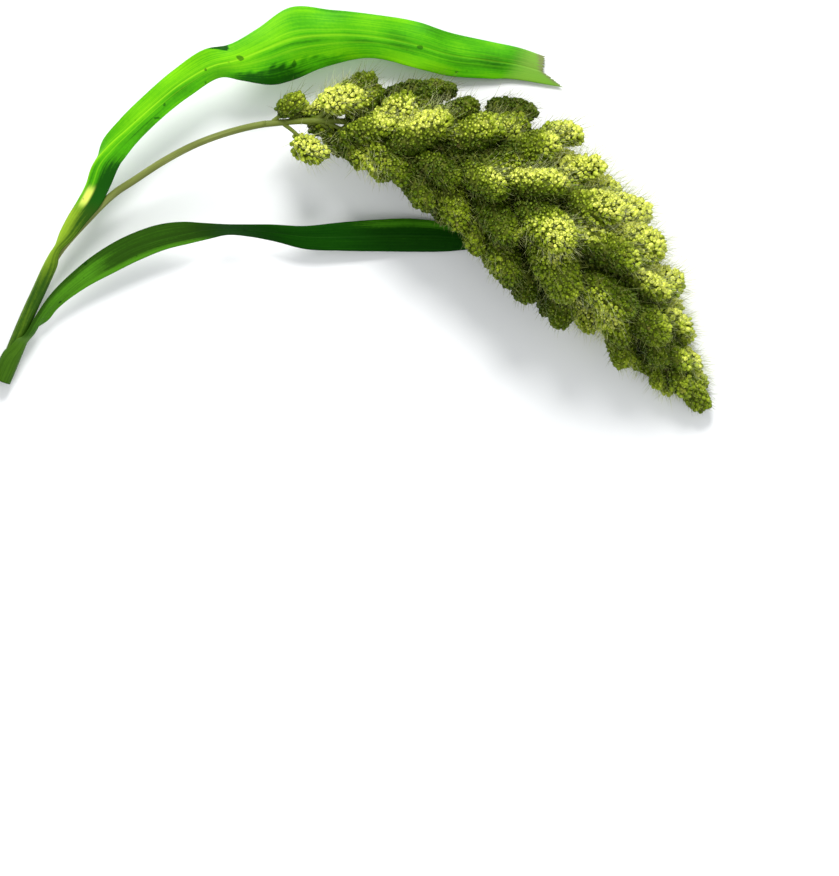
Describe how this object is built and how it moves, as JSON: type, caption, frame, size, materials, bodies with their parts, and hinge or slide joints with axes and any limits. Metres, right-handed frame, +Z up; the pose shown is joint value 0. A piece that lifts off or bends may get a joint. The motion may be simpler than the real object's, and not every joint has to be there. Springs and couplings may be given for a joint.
{
  "type": "foxtail millet head",
  "caption": "Arching seed head of foxtail millet with clustered lobes of small grains, on its stalk with two sheathing leaves, lying on its side as picked.",
  "frame": {"origin": "centre of the footprint, on the surface that the head lies on", "axes": "+X from the cut end of the stalk towards the head, +Y towards the side that the flag leaf arches over, +Z up from the surface"},
  "size_m": [0.2736, 0.1546, 0.0586],
  "materials": {
    "stalk": "fresh green stem, finely ribbed, satin",
    "flag_leaf": "bright green grass blade, ribbed along its length, satin",
    "lower_leaf": "dark green grass blade, ribbed along its length, satin",
    "grain": "yellow-green husked grains and bristles, dull"
  },
  "bodies": {
    "root": {"stalk": "stalk", "flag_leaf": "flag_leaf", "lower_leaf": "lower_leaf", "seed_head": "grain"}
  },
  "joints": []
}
